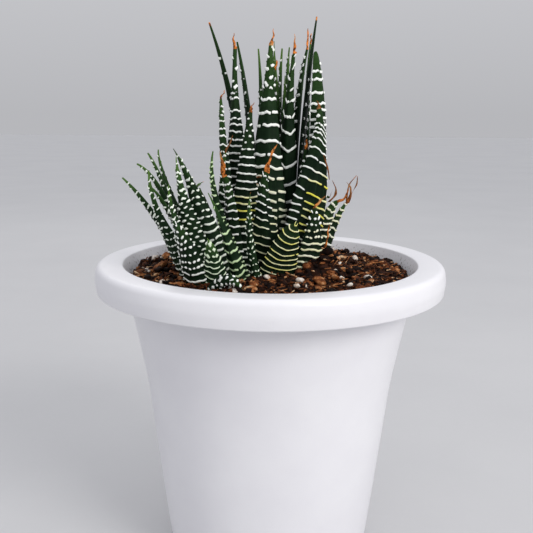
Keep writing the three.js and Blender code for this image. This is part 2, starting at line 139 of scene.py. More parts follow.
LEAVES = [
    # The left crown
    leaf("left_1", (-12, 3), (-12.5, 4, 164), (-24.3, 4, 213.5), 11, 2.7, 190, taper=1.5, shade=0.2,
         dots=170, rows=[200.3, 194.3, 189.4, 185.3, 181.1], bare=202, burnt=True, bold=1.15, dot=0.8,
         space=2.8),
    leaf("left_2", (-10, -5), (-13.6, -4, 168), (-14.1, -2, 204), 13.2, 3, 262, taper=2.4,
         wisp=(-0.4, 0, 5),
         rows=[199.6, 195.9, 191.3, 188.9, 186.7, 184.6, 179.9, 176.9, 174.7, 172.0, 169.0, 166.7,
               164.0], dots=187, shade=0.25, bold=0.85, dot=0.95, space=3.0),
    leaf("left_3", (-4, 8), (-7.9, 10, 168), (-13.8, 12, 207), 10, 2.8, 172, taper=1.2, shade=0.3,
         dots=160, bare=201, bold=1.15, dot=0.75, space=2.6),
    leaf("left_4", (-11, -4), (-17, -7.5, 150), (-19.4, -7, 185), 5.5, 2.6, 235, taper=0.7,
         wisp=(1.6, 0, 2.7), rows=[183.6, 181.8, 179.9, 178.4, 176.2, 173.2, 170.5, 167.1, 164.4],
         dots=177, arch=-0.5, bold=0.85, brown=0.3, dot=0.6, space=1.8),
    leaf("left_5", (-9.5, -11), (-9.5, -11, 155), (-7.8, -9, 180), 10.4, 3, 268, wisp=(1.2, 0, 3.1),
         rows=[177.0, 174.8, 172.6, 170.4, 168.2, 165.6, 162.6, 159.6, 156.4, 153.5, 150.7, 147.6,
               145.1, 142.4], dots=166, shade=0.1, gold=(137, 149, 1.0), wavy=0.5, bold=0.85, dot=0.65,
         space=2.4, brown=0.5),
    leaf("left_6", (-4, 14), (-3.6, 16, 168), (-5.4, 19, 205), 7, 2.4, 175, taper=1.4, shade=0.8,
         bare=190, bold=1.3, dot=0.7),
    leaf("left_7", (-14, -9), (-15.4, -15, 143), (-17.7, -18, 156), 8, 2.8, 240, wisp=(-1.4, -1, 9.5),
         shade=0.25, broad=2.2, bold=0.9, end=0.28),
    leaf("left_8", (-19, -7), (-19, -10.5, 146), (-17.2, -12.5, 165), 7, 2.6, 205, wisp=(2.7, 0, 6),
         bold=0.95, broad=0.5, brown=0.8),
    # The right crown
    leaf("right_1", (0, -5), (-1.4, -4, 165), (-0.3, 0, 205.5), 14, 3.6, 266, taper=1.45,
         wisp=(0.8, 0, 5.4),
         rows=[203.9, 199.9, 197.8, 195.4, 193.0, 190.1, 188.6, 184.5, 179.3, 174.4, 168.3, 163.0,
               158.4, 154.5, 149.8, 146.3, 142.8, 140.0], dots=187.5, shade=0.35, wavy=1.5,
         scars=[(0.5, 153.5, 2.2), (0.3, 156.5, 1.6), (-0.3, 143.5, 1.8)], bold=1.35, dot=1.1,
         space=3.2, split=(-0.55, 151, 2.3, 1.1), slant=0.3, gold=(118, 158, 0.35)),
    leaf("right_2", (10.4, 4.5), (12.4, 5, 168), (17.3, 5, 216), 9.5, 2.3, 2, taper=1.2, shade=0.05,
         dots=150, bare=193, rows=[191.9, 186.6, 182.1, 176.9], burnt=True, bold=1.3),
    leaf("right_3", (17, -3), (18.7, 0, 166), (16.8, -1, 202.5), 9.2, 3, 300, taper=0.55, shade=0.3,
         dots=197, rows=[198.6, 195.4, 192.4, 187.4, 183.2, 180.6], arch=-0.4, bold=1.25, blunt=True),
    leaf("right_4", (7.5, -11), (16.8, -8, 156), (18.3, -4, 181.5), 15.5, 3.4, 278, taper=1.3,
         wisp=(-1, 0, 2.5),
         rows=[177.9, 174.9, 173.0, 171.4, 169.1, 165.5, 161.7, 157.5, 153.7, 149.4, 145.9], dots=176,
         slant=1.4, gold=(132, 156, 1.1, 0.42), shade=0.15, wavy=1.1, split=(0.42, 152, 1.9, -0.8),
         arch=-0.6, brown=0.6, bold=0.85),
    leaf("right_5", (6, 1.5), (6.4, 3, 168), (8.8, 6, 203), 9.6, 3, 250, taper=1.4, wisp=(0, 0, 6.6),
         rows=[200.5, 197.9, 196.0, 191.9, 187.4, 183.2], dots=184, shade=0.3, wavy=1.4, arch=2.6,
         bold=1.35, dot=1.0, space=2.8, pitch=6.5, slant=0.5),
    leaf("right_6", (8, 10), (10.2, 10, 172), (14.4, 12, 205), 5.5, 3.4, 165, taper=0.6,
         wisp=(0, 0, 7.4), shade=0.2, dots=165, bold=1.35),
    leaf("right_7", (4, 12), (3.4, 14, 170), (4.3, 17, 205), 8, 2.6, 175, taper=1.2, shade=0.7,
         dots=160, bold=1.3, dot=0.8),
    leaf("right_8", (1, 6), (2.8, 9, 164), (1.6, 10, 197), 5, 2.4, 150, wisp=(0.4, 0, 3.1), shade=0.5,
         bold=1.2),
    leaf("right_9", (-1, 20), (0.8, 21, 168), (1.1, 24, 208.5), 8, 2.6, 95, taper=1.3, shade=0.8,
         bare=198, bold=1.3, dot=0.8),
    leaf("right_10", (9, 17), (6.6, 20, 170), (7.4, 23, 206), 7, 2.4, 150, taper=1.3, shade=0.6,
         dots=160, bold=1.3, dot=0.8),
    leaf("right_11", (5, 7), (4.8, 9, 160), (5.5, 11, 194), 6, 2.4, 130, shade=0.7, dots=160, bold=1.2,
         dot=0.8),
    leaf("right_12", (17, 13), (14.8, 17, 170), (16, 21, 208), 5.5, 2.6, 30, taper=1.2,
         wisp=(0, 0, 3.5), shade=0.5, bold=1.3),
    leaf("right_13", (0.5, -12), (-2.8, -16, 143), (-1.6, -18, 158), 11, 3, 264, taper=1.5,
         wisp=(3.6, 0, 10), rows=[156.2, 152.4, 148.7, 145.7, 142.6, 139.6], shade=0.15, broad=1.0,
         gold=(118, 140, 0.5), bold=0.78, split=(-0.46, 170, 1.0, -0.9), slant=1.0, pitch=3.4, end=0.2),
    leaf("right_14", (1.5, -17), (5.2, -21, 128.5), (9.9, -21, 139.5), 13.5, 3, 278, taper=0.75,
         shade=0.1, arch=1.3, rows=[138.1, 136.2, 133.9, 131.7, 129.4, 127.1, 125.2, 123.3, 121.4],
         dots=141, wavy=0.5, gold=(112, 145, 0.9), pitch=2.1, bold=0.56),
    leaf("right_15", (19, 0), (24.6, 3, 131), (30.7, 3, 144), 6.5, 2.6, 325, taper=0.6,
         wisp=(3.5, 0, 11), curl=2.6, rows=[143.4, 140.9, 138.5, 136.1, 133.2], gold=(128, 145, 0.5),
         broad=1.2, brown=0.5),
    leaf("right_16", (16, -7), (21.6, -5, 136), (26.5, -6, 145.5), 8.5, 2.8, 300, taper=0.7,
         wisp=(4, 0, 5), curl=-1.2, shade=0.3, gold=(126, 145, 0.4), broad=1.2, brown=0.4),
    leaf("right_17", (18, 7), (20.6, 11, 138), (24.6, 12, 145), 6.5, 2.4, 10, taper=0.8,
         wisp=(1.0, 0, 3), curl=0.4, broad=0.8, brown=0.6),
    leaf("right_18", (13, -14), (16.2, -13.8, 131), (16.8, -13.6, 144), 10, 2.6, 285, taper=0.8,
         wisp=(4, 0, 4.5), shade=0.1, dots=132, pitch=2.6, gold=(112, 136, 0.5), broad=1.8, dot=0.75,
         space=1.7),
    leaf("right_19", (19, -10), (21, -9.5, 125), (22.2, -9, 131), 4.8, 1.6, 10, wisp=(0.6, 0, 5.5),
         withered=True),
    # The leaves between the crowns and the offset
    leaf("front_1", (-3.6, -25), (-7.6, -27, 133), (-7.5, -28, 151), 3.6, 3.6, 272, taper=1.2,
         shade=0.7, dots=112, pitch=2.3, fresh=0.3, burnt=True, dot=0.55, space=1.3, bold=0.7),
    leaf("front_2", (-7.5, -17), (-19.9, -16, 143), (-21.8, -16, 165), 6.5, 2.6, 225, taper=2.2,
         shade=0.5, dots=143, rows=[148.6, 145.5, 142.9, 140.2, 137.2, 134.9, 131.4], fresh=0.75,
         bold=0.8, dot=0.6, space=1.1, pitch=1.9),
    leaf("front_3", (-9.5, -27), (-16.4, -30, 135.5), (-22.6, -31, 151), 5.2, 3, 252, taper=2,
         shade=0.45, dots=139, rows=[140.4, 136.4, 132.9, 129.7, 126.1, 123.1, 120.8], fresh=0.8,
         arch=0.5, dot=0.7, space=1.7, bold=1.05),
    # The offset on the left
    leaf("offset_1", (-26, -23), (-41, -26, 139.5), (-53.7, -28, 156), 7.6, 2.4, 205, taper=2.8,
         shade=0.45, dots=115, **NARROW),
    leaf("offset_2", (-27, -19), (-38.6, -20, 146), (-49.7, -20, 160.5), 7.6, 2.4, 182, taper=2.8,
         shade=0.5, dots=115, **NARROW),
    leaf("offset_3", (-24.5, -27), (-39.4, -30, 140), (-43.3, -33, 159), 9.5, 2.4, 230, taper=3,
         shade=0.6, dots=118, **NARROW),
    leaf("offset_4", (-26, -15), (-39.3, -14, 148.5), (-47, -11, 164), 7.6, 2.4, 170, taper=2.8,
         shade=0.5, dots=115, **NARROW),
    leaf("offset_5", (-23, -14), (-38.9, -9, 148), (-43.8, -5, 165), 7.8, 2.4, 150, taper=2.8,
         shade=0.55, dots=115, **NARROW),
    leaf("offset_6", (-22, -24.5), (-36, -24, 140.5), (-44.5, -24, 152.5), 10, 2.4, 190, taper=3,
         shade=0.4, dots=115, **NARROW),
    leaf("offset_7", (-24, -29), (-33.6, -35, 140), (-35.8, -37, 154.5), 7, 2.4, 250, taper=2.3,
         shade=0.7, dots=112, **NARROW),
    leaf("offset_8", (-24, -24), (-31.8, -26, 146), (-34.7, -24, 163), 12, 3, 258, taper=2.5,
         shade=0.6, dots=121,
         rows=[151.6, 150.1, 148.5, 146.9, 145.3, 143.7, 142.1, 140.5, 138.9, 137.3, 135.7, 134.1,
               132.5, 130.9], pitch=1.6, bold=0.95, dot=0.7, space=3.3, dash=2.2, fresh=0.15),
    leaf("offset_9", (-17, -22), (-27, -22, 146), (-36.4, -18, 166), 10.5, 3, 290, taper=2.1,
         shade=0.4, dots=141, rows=[152.8, 150.3, 148.1, 145.8, 143.2, 141.0, 138.4, 135.8, 132.8],
         pitch=2.6, bold=1.0, dot=0.72, space=2.2, dash=1.9, fresh=0.15),
    leaf("offset_10", (-26, -14), (-31, -11, 141), (-26, -8, 153), 6, 2.4, 60, shade=0.6, burnt=True,
         bold=0.9, dot=0.6, space=1.5),
    leaf("offset_11", (-25, -33), (-30, -37, 132), (-34, -40, 142), 9.5, 2.8, 248, taper=1, shade=0.25,
         dots=124, pitch=2.6, arch=0.8, bold=0.95, dot=0.8, space=1.7),
    leaf("offset_12", (-19, -33), (-20.6, -38, 128), (-22.3, -40, 136), 8.5, 2.8, 272, taper=1,
         shade=0.7, pitch=2.3, arch=0.9, fresh=0.5, dots=128, dot=0.8, space=1.6, bold=0.65),
    leaf("offset_13", (-22, -36), (-16, -42.5, 121), (-10, -47, 119.5), 7, 2.4, 280, shade=0.3,
         pitch=2.1, dots=0, dot=0.8, space=1.6, bold=0.8),
    # The leaves on the far side
    leaf("back_1", (-14, 11), (-16, 19, 145), (-17, 26, 168), 11, 3, 125, dots=150, bold=1.2),
    leaf("back_2", (-7, 19), (-8, 29, 143), (-9, 37, 166), 12, 3, 105, dots=150, shade=0.2, bold=1.2),
    leaf("back_3", (4, 24), (4, 33, 142), (4, 42, 165), 12, 3, 90, dots=146, bold=1.2),
    leaf("back_4", (-20, 7), (-25, 13, 132), (-30, 18, 148), 10, 2.8, 150, dots=136, shade=0.4,
         bold=1.2),
    # One more leaf of the right crown, half hidden in it
    leaf("right_20", (10.5, -3), (11.8, -4, 142), (13.6, -3, 166), 9, 2.4, 268, taper=1.5,
         wisp=(0.1, 0, 3.4), shade=0.1, dots=135, dot=0.8, space=1.9, pitch=2.4, bold=1.0, broad=1.0),
]


# The crumbs that catch the eye: place, size, and for chips how light they are
CHOSEN_GRIT = [
    (28.0, 32.8, 2.4), (36.2, 14.2, 2.7), (34.8, -8.8, 2.6), (37.3, -19.9, 3.4), (28.5, -37.1, 2.0),
    (27.1, -22.0, 2.1), (10.8, -31.1, 2.6), (12.0, -37.6, 2.8), (9.4, -39.2, 2.4), (-1.3, -26.4, 2.3),
    (-12.8, -44.6, 2.2), (14.3, -27.6, 2.0), (47.9, 10.2, 1.4), (-47.9, 6.7, 3.0), (-49.3, -5.8, 1.8),
    (-39.2, 7.0, 1.8), (-40.0, -29.4, 2.0), (23.5, 12.0, 2.2),
]
CHOSEN_CHIPS = [
    (29.5, 10.5, 4.2, 0.85), (-7.0, -40.0, 4.5, 0.8), (24.0, -28.0, 3.4, 0.7), (-41.4, 8.0, 5.5, 0.7),
    (26.0, 19.5, 5.0, 0.62), (-36.0, 2.0, 5.0, 0.6), (-44.0, -6.0, 5.5, 0.65), (40.8, 30.0, 4.5, 0.6),
    (20.6, -11.5, 2.6, 0.95), (18.0, -31.0, 5.0, 0.7), (33.0, -22.0, 4.0, 0.5), (44.0, 8.0, 5.0, 0.66),
    (-33.0, -33.0, 4.5, 0.7),
]

# Loose withered strips: the places that each runs through, and its width
CURLS = [
    ([(30.5, -3, 144.5), (31.7, -3, 148.1), (31.5, -3, 150.9), (29.8, -3, 152.8)], 1.1),
    ([(31.1, -4, 146.6), (32.6, -4, 149.8), (33.9, -4, 152.2), (34, -4, 155.3)], 1.2),
    ([(20, -10, 163.7), (21, -10, 161), (21.9, -10, 158), (22.5, -10, 154.2)], 0.6),
    ([(24.1, 10, 143.4), (26.8, 10, 146.1), (27.0, 10, 149.0), (25.2, 10, 152.5)], 1.0),
]

# Colours: red, green, blue and opacity, as shares of full light
PLASTIC = (0.82, 0.815, 0.845, 1)
PLASTIC_DULL = (0.77, 0.762, 0.80, 1)
SPLASH = (0.11, 0.06, 0.035, 1)
LEAF_DARK = (0.0035, 0.008, 0.005, 1)
LEAF_LIGHT = (0.013, 0.036, 0.013, 1)
LEAF_MOTTLE = (0.013, 0.030, 0.012, 1)
LEAF_STREAK = (0.020, 0.052, 0.018, 1)
LEAF_UPPER = (0.056, 0.140, 0.028, 1)
LEAF_POINT = (0.130, 0.230, 0.050, 1)
LEAF_PITS = (0.003, 0.007, 0.004, 1)
# Painted shade: the near-black green that the lower part of the leaves is darkened towards
LEAF_PAINTED_SHADE = (0.002, 0.004, 0.003, 1)
BAND_WHITE = (0.92, 0.94, 0.90, 1)
BAND_FRESH = (0.46, 0.66, 0.28, 1)
BAND_YELLOW = (0.75, 0.70, 0.09, 1)
BAND_MOTTLE = (0.62, 0.70, 0.52, 1)
# Painted shade: the dull grey-green that the bands on the lower part of the leaves turn towards
BAND_PAINTED_SHADE = (0.34, 0.40, 0.28, 1)
STRAW = (0.74, 0.235, 0.050, 1)
STRAW_DARK = (0.085, 0.026, 0.010, 1)
STRAW_PALE = (0.74, 0.46, 0.20, 1)
STRAW_BROWN = (0.070, 0.022, 0.010, 1)
SOIL_DARK = (0.004, 0.002, 0.002, 1)
SOIL_BROWN = (0.034, 0.012, 0.006, 1)
SOIL_RUST = (0.17, 0.055, 0.018, 1)
BARK_STEPS = [
    (0.0, (0.004, 0.002, 0.002, 1)), (0.30, (0.024, 0.008, 0.004, 1)), (0.58, (0.150, 0.042, 0.012, 1)),
    (0.82, (0.42, 0.17, 0.06, 1)), (1.0, (0.72, 0.50, 0.30, 1)),
]
BARK_PITS = (0.020, 0.010, 0.006, 1)
GRIT_PALE = (0.78, 0.72, 0.65, 1)
GRIT_STAINED = (0.42, 0.27, 0.17, 1)
GRIT_PITS = (0.16, 0.09, 0.06, 1)
FLOOR_LIGHT = (0.555, 0.555, 0.565, 1)
FLOOR_DULL = (0.525, 0.525, 0.537, 1)
SKY_LOW = (0.472, 0.475, 0.497, 1)
SKY_HIGH = (0.98, 0.99, 1.03, 1)


# Materials
def add(tree, kind, inputs=(), **settings):
    node = tree.nodes.new(kind)
    for name, value in settings.items():
        setattr(node, name, value)
    for name, value in dict(inputs).items():
        if isinstance(value, bpy.types.NodeSocket):
            tree.links.new(value, node.inputs[name])
        else:
            node.inputs[name].default_value = value
    return node


def mixed(tree, share, first, second):
    """The colour that goes from first to second as share goes from 0 to 1."""
    node = add(tree, "ShaderNodeMix", {0: share, 6: first, 7: second}, data_type="RGBA")
    return node.outputs[2]


def ranged(tree, value, low, high, bottom=0.0, top=1.0):
    return add(tree, "ShaderNodeMapRange", {
        "Value": value, "From Min": low, "From Max": high, "To Min": bottom, "To Max": top,
    }).outputs["Result"]


def worked(tree, operation, first, second):
    return add(tree, "ShaderNodeMath", {0: first, 1: second}, operation=operation).outputs[0]


def attribute(tree, name):
    return add(tree, "ShaderNodeAttribute", attribute_name=name).outputs["Fac"]


def grain_group():
    """Fine and broad mottling on the piece's own coordinates."""
    tree = bpy.data.node_groups.new("grain", "ShaderNodeTree")
    names = ("Fine", "Broad")
    for name in names:
        tree.interface.new_socket(name + " scale", in_out="INPUT", socket_type="NodeSocketFloat")
        tree.interface.new_socket(name, in_out="OUTPUT", socket_type="NodeSocketFloat")
    entry = tree.nodes.new("NodeGroupInput")
    leave = tree.nodes.new("NodeGroupOutput")
    place = add(tree, "ShaderNodeTexCoord").outputs["Object"]
    for name in names:
        cloud = add(tree, "ShaderNodeTexNoise", {
            "Vector": place, "Scale": entry.outputs[name + " scale"], "Detail": 4.0, "Roughness": 0.6,
        })
        tree.links.new(cloud.outputs["Fac"], leave.inputs[name])
    return tree


GRAIN = grain_group()


def material(name, fine, broad):
    """A new material, its nodes, its shader, and its mottling at the fine and the broad scale."""
    made = bpy.data.materials.new(name)
    made.use_nodes = True
    tree = made.node_tree
    grain = add(tree, "ShaderNodeGroup", {"Fine scale": fine, "Broad scale": broad}, node_tree=GRAIN)
    return made, tree, tree.nodes["Principled BSDF"], grain.outputs["Fine"], grain.outputs["Broad"]


def coloured(tree, shader, colour, roughness, shine=0.5):
    tree.links.new(colour, shader.inputs["Base Color"])
    tree.links.new(roughness, shader.inputs["Roughness"])
    shader.inputs["Specular IOR Level"].default_value = shine


def bumped(tree, shader, height, strength, distance):
    bump = add(tree, "ShaderNodeBump", {"Height": height, "Strength": strength, "Distance": distance})
    tree.links.new(bump.outputs["Normal"], shader.inputs["Normal"])


def pot_plastic():
    made, tree, shader, fine, broad = material("pot_plastic", 1500.0, 22.0)
    white = mixed(tree, ranged(tree, broad, 0.35, 0.7), PLASTIC, PLASTIC_DULL)
    place = add(tree, "ShaderNodeTexCoord").outputs["Object"]
    specks = add(tree, "ShaderNodeTexNoise", {"Vector": place, "Scale": 900.0, "Detail": 2.0})
    height = add(tree, "ShaderNodeSeparateXYZ", {0: place}).outputs["Z"]
    near_soil = ranged(tree, height, SPLASH_TOP * MM, SPLASH_FULL * MM)
    inner = ranged(tree, attribute(tree, "inner"), 0.2, 0.8)
    dirt = worked(tree, "MULTIPLY", worked(tree, "MULTIPLY", near_soil, inner),
                  ranged(tree, specks.outputs["Fac"], 0.60, 0.64))
    coloured(tree, shader, mixed(tree, dirt, white, SPLASH), ranged(tree, broad, 0.3, 0.7, 0.30, 0.42))
    shader.inputs["Coat Weight"].default_value = 0.15
    shader.inputs["Coat Roughness"].default_value = 0.25
    bumped(tree, shader, fine, 0.08, 0.0003)
    return made


def leaf_skin():
    made, tree, shader, fine, broad = material("leaf_skin", 900.0, 130.0)
    names = ("band", "dry", "gold", "way", "across", "shade", "fresh", "deep", "brown")
    band, dry, gold, way, across, shade, fresh, deep, brown = (attribute(tree, name) for name in names)
    lie = add(tree, "ShaderNodeCombineXYZ", {0: worked(tree, "MULTIPLY", across, 14.0),
                                             1: worked(tree, "MULTIPLY", way, 3.0), 2: shade})
    streaks = add(tree, "ShaderNodeTexNoise", {"Vector": lie.outputs[0], "Scale": 1.0, "Detail": 3.0})
    streak = streaks.outputs["Fac"]

    green = mixed(tree, shade, LEAF_DARK, LEAF_LIGHT)
    green = mixed(tree, ranged(tree, broad, 0.4, 0.75, 0.0, 0.5), green, LEAF_MOTTLE)
    green = mixed(tree, ranged(tree, streak, 0.5, 0.8, 0.0, 0.45), green, LEAF_STREAK)
    upward = worked(tree, "MULTIPLY", ranged(tree, way, 0.70, 1.0),
                    ranged(tree, shade, 0.0, 0.6, 0.05, 0.9))
    green = mixed(tree, upward, green, LEAF_UPPER)
    point = worked(tree, "MULTIPLY", ranged(tree, way, 0.86, 1.0),
                   ranged(tree, shade, 0.3, 0.6, 0.0, 0.8))
    green = mixed(tree, point, green, LEAF_POINT)
    green = mixed(tree, ranged(tree, fine, 0.3, 0.75, 0.0, 0.35), green, LEAF_PITS)
    # Painted shade: towards the root each leaf is darkened to near black and its bands dulled, weighted
    # by the deep attribute, standing in for the shade among the leaves
    low = worked(tree, "MULTIPLY", ranged(tree, way, 0.05, 0.45, 0.7, 0.0), deep)
    green = mixed(tree, low, green, LEAF_PAINTED_SHADE)

    white = mixed(tree, fresh, BAND_WHITE, BAND_FRESH)
    white = mixed(tree, gold, white, BAND_YELLOW)
    white = mixed(tree, ranged(tree, broad, 0.45, 0.75, 0.0, 0.35), white, BAND_MOTTLE)
    white = mixed(tree, low, white, BAND_PAINTED_SHADE)
    skin = mixed(tree, ranged(tree, band, 0.36, 0.58), green, white)

    straw = mixed(tree, ranged(tree, fine, 0.42, 0.60), STRAW, STRAW_DARK)
    straw = mixed(tree, ranged(tree, broad, 0.52, 0.70, 0.0, 0.8), straw, STRAW_PALE)
    straw = mixed(tree, brown, straw, STRAW_BROWN)
    edge = worked(tree, "ADD", dry, ranged(tree, fine, 0.3, 0.7, -0.15, 0.15))
    colour = mixed(tree, ranged(tree, edge, 0.4, 0.6), skin, straw)

    rough = worked(tree, "ADD", ranged(tree, band, 0.3, 0.7, 0.48, 0.60),
                   ranged(tree, dry, 0.3, 0.7, 0.0, 0.3))
    rough = worked(tree, "ADD", rough, ranged(tree, fine, 0.3, 0.7, -0.05, 0.05))
    coloured(tree, shader, colour, rough, shine=0.04)
    relief = worked(tree, "ADD", fine, worked(tree, "MULTIPLY", streak, 0.8))
    bumped(tree, shader, relief, 0.35, 0.0002)
    return made


def soil_crumb():
    made, tree, shader, fine, broad = material("soil_crumb", 700.0, 240.0)
    dark = mixed(tree, ranged(tree, broad, 0.38, 0.62), SOIL_DARK, SOIL_BROWN)
    rust = mixed(tree, ranged(tree, fine, 0.58, 0.72), dark, SOIL_RUST)
    coloured(tree, shader, rust, ranged(tree, fine, 0.3, 0.7, 0.7, 0.95), shine=0.1)
    bumped(tree, shader, fine, 0.9, 0.0008)
    return made


def bark_chip():
    made, tree, shader, fine, broad = material("bark_chip", 1400.0, 420.0)
    tone = worked(tree, "ADD", attribute(tree, "tone"), ranged(tree, broad, 0.3, 0.7, -0.3, 0.3))
    ramp = add(tree, "ShaderNodeValToRGB", {0: tone})
    while len(ramp.color_ramp.elements) < len(BARK_STEPS):
        ramp.color_ramp.elements.new(0.5)
    for element, (place, colour) in zip(ramp.color_ramp.elements, BARK_STEPS):
        element.position, element.color = place, colour
    pitted = mixed(tree, ranged(tree, fine, 0.45, 0.75, 0.0, 0.5), ramp.outputs["Color"], BARK_PITS)
    coloured(tree, shader, pitted, ranged(tree, fine, 0.3, 0.7, 0.6, 0.9), shine=0.1)
    bumped(tree, shader, fine, 0.8, 0.0004)
    return made


def pale_grit():
    made, tree, shader, fine, broad = material("pale_grit", 1600.0, 500.0)
    stained = mixed(tree, ranged(tree, broad, 0.42, 0.68), GRIT_PALE, GRIT_STAINED)
    pitted = mixed(tree, ranged(tree, fine, 0.5, 0.75, 0.0, 0.6), stained, GRIT_PITS)
    coloured(tree, shader, pitted, ranged(tree, fine, 0.3, 0.7, 0.7, 0.95))
    bumped(tree, shader, fine, 0.7, 0.0004)
    return made


def pale_floor():
    made, tree, shader, fine, broad = material("pale_floor", 400.0, 6.0)
    worn = mixed(tree, ranged(tree, broad, 0.35, 0.7), FLOOR_LIGHT, FLOOR_DULL)
    coloured(tree, shader, worn, ranged(tree, fine, 0.3, 0.7, 0.5, 0.6))
    return made


# Pieces
def piece(name, bm, look):
    mesh = bpy.data.meshes.new(name)
    for face in bm.faces:
        face.smooth = True
    bm.to_mesh(mesh)
    bm.free()
    made = bpy.data.objects.new(name, mesh)
    made.data.materials.append(look)
    scene.collection.objects.link(made)
    return made


def closed_up(bm):
    bmesh.ops.remove_doubles(bm, verts=bm.verts, dist=1e-6)
    bmesh.ops.dissolve_degenerate(bm, edges=bm.edges, dist=1e-7)
    bmesh.ops.recalc_face_normals(bm, faces=bm.faces)


def turned(profile, steps):
    """A round body from its profile, in millimetres from the axis and above the foot."""
    bm = bmesh.new()
    verts = [bm.verts.new((radius * MM, 0, z * MM)) for radius, z in profile]
    edges = [bm.edges.new(pair) for pair in zip(verts, verts[1:])]
    bmesh.ops.spin(bm, geom=verts + edges, cent=(0, 0, 0), axis=(0, 0, 1), dvec=(0, 0, 0),
                   angle=2 * math.pi, steps=steps, use_merge=True)
    closed_up(bm)
    return bm


def rounded(corners, steps=5):
    """A profile with each corner (radius, z, round) drawn as an arc of that radius."""
    profile = []
    for i, (x, z, radius) in enumerate(corners):
        here = Vector((x, z))
        if radius == 0:
            profile.append(tuple(here))
            continue
        before = (Vector(corners[i - 1][:2]) - here).normalized()
        after = (Vector(corners[i + 1][:2]) - here).normalized()
        half = before.angle(after) / 2
        reach = radius / math.tan(half)
        centre = here + (before + after).normalized() * (radius / math.sin(half))
        start, end = here + before * reach - centre, here + after * reach - centre
        turn = math.atan2(start.x * end.y - start.y * end.x, start.dot(end))
        for k in range(steps + 1):
            profile.append(tuple(centre + Matrix.Rotation(turn * k / steps, 2) @ start))
    return profile


def body_radius(z):
    if z > SHOULDER_HEIGHT:
        up = (z - SHOULDER_HEIGHT) / (POT_HEIGHT - SKIRT_DEPTH - SHOULDER_HEIGHT)
        return SHOULDER_RADIUS + (NECK_RADIUS - SHOULDER_RADIUS) * up ** 1.1
    return FOOT_RADIUS + (SHOULDER_RADIUS - FOOT_RADIUS) * (max(z, 0.0) / SHOULDER_HEIGHT) ** 0.95


def make_pot(look):
    top, skirt_foot = POT_HEIGHT, POT_HEIGHT - SKIRT_DEPTH
    corners = [(0, 0, 0), (FOOT_RADIUS - 1.5, 0, 2.2)]
    corners += [(body_radius(z), z, 0) for z in OUTER_HEIGHTS]
    corners += [(NECK_RADIUS + 1.0, top - 3.0, 2.4), (RIM_RADIUS - 3.3, top - 3.6, 2.2),
                (RIM_RADIUS - 2.2, skirt_foot, 0.7), (RIM_RADIUS - 0.7, skirt_foot, 0.7),
                (RIM_RADIUS, top - 5.6, 9.0), (RIM_RADIUS - 0.75, top + 0.05, 2.6),
                (LIP_RADIUS, top - 0.1, 0.8)]
    corners += [(body_radius(z) - POT_WALL, z, 0) for z in INNER_HEIGHTS]
    corners += [(FOOT_RADIUS - 3.4, POT_FLOOR, 2.0), (0, POT_FLOOR, 0)]
    pot = piece("plastic_pot", turned(rounded(corners), POT_STEPS), look)
    drains = bmesh.new()
    ring = DRAIN_RING * MM
    for i in range(DRAINS):
        turn = 2 * math.pi * i / DRAINS
        place = Matrix.Translation((ring * math.sin(turn), ring * math.cos(turn), 0))
        bmesh.ops.create_cone(drains, cap_ends=True, segments=DRAIN_SIDES, radius1=DRAIN_RADIUS * MM,
                              radius2=DRAIN_RADIUS * MM, depth=10 * MM, matrix=place)
    cutter = piece("drains", drains, look)
    cut = pot.modifiers.new("drains", "BOOLEAN")
    cut.operation, cut.object, cut.solver = "DIFFERENCE", cutter, "EXACT"
    cut_mesh = bpy.data.meshes.new_from_object(pot.evaluated_get(bpy.context.evaluated_depsgraph_get()))
    pot.modifiers.clear()
    pot.data = cut_mesh
    bpy.data.objects.remove(cutter)
    inner = cut_mesh.attributes.new("inner", "FLOAT", "POINT")
    for i, vert in enumerate(cut_mesh.vertices):
        radius = math.hypot(vert.co.x, vert.co.y) / MM
        z = vert.co.z / MM
        opening = LIP_RADIUS + 0.2 if z > POT_HEIGHT - SKIRT_DEPTH else body_radius(z) - 0.6
        inner.data[i].value = 1.0 if z > SHOULDER_HEIGHT and radius < opening else 0.0
    return pot


def soil_height(x, y):
    out = math.hypot(x, y) / LIP_RADIUS
    lumps = 0.7 * math.sin(x * 0.31 + 1.3) * math.cos(y * 0.27) + 0.5 * math.sin(x * 0.11 - y * 0.63)
    mounds = sum(high * math.exp(-((x - a) ** 2 + (y - b) ** 2) / wide ** 2)
                 for a, b, wide, high in MOUNDS)
    return SOIL_EDGE + SOIL_RISE * max(0, 1 - out * out) + lumps + mounds


def soil_top(x, y):
    """The height of the crumbly surface."""
    crumbs = 1.0 * noise.noise((x * 0.16, y * 0.16, 3.0)) + 1.1 * noise.noise((x * 0.42, y * 0.42, 7.0))
    crumbs += 0.6 * noise.noise((x * 0.9, y * 0.9, 1.0)) + 0.35 * noise.noise((x * 1.9, y * 1.9, 5.0))
    return soil_height(x, y) + crumbs


def make_soil(look):
    edge = body_radius(POT_HEIGHT - SKIRT_DEPTH) - POT_WALL - SOIL_GAP
    wall = [(body_radius(z) - POT_WALL - SOIL_GAP, z) for z in SOIL_HEIGHTS]
    surface = [(edge * (1 - i / SOIL_RINGS), SOIL_EDGE) for i in range(SOIL_RINGS + 1)]
    under = POT_FLOOR + SOIL_GAP
    bm = turned([(0, under), (FOOT_RADIUS - 5.4, under)] + wall + surface, SOIL_STEPS)
    for vert in bm.verts:
        if vert.co.z > SURFACE_ABOVE * MM:
            vert.co.z = soil_top(vert.co.x / MM, vert.co.y / MM) * MM
    return piece("potting_soil", bm, look)


def scattered(draw):
    while True:
        x, y = (draw.uniform(-LOOSE_REACH, LOOSE_REACH) for _ in range(2))
        in_crown = any(math.hypot(x - a, y - b) < radius for a, b, radius in CROWN_PLACES)
        if math.hypot(x, y) < LOOSE_REACH and not in_crown:
            return x, y


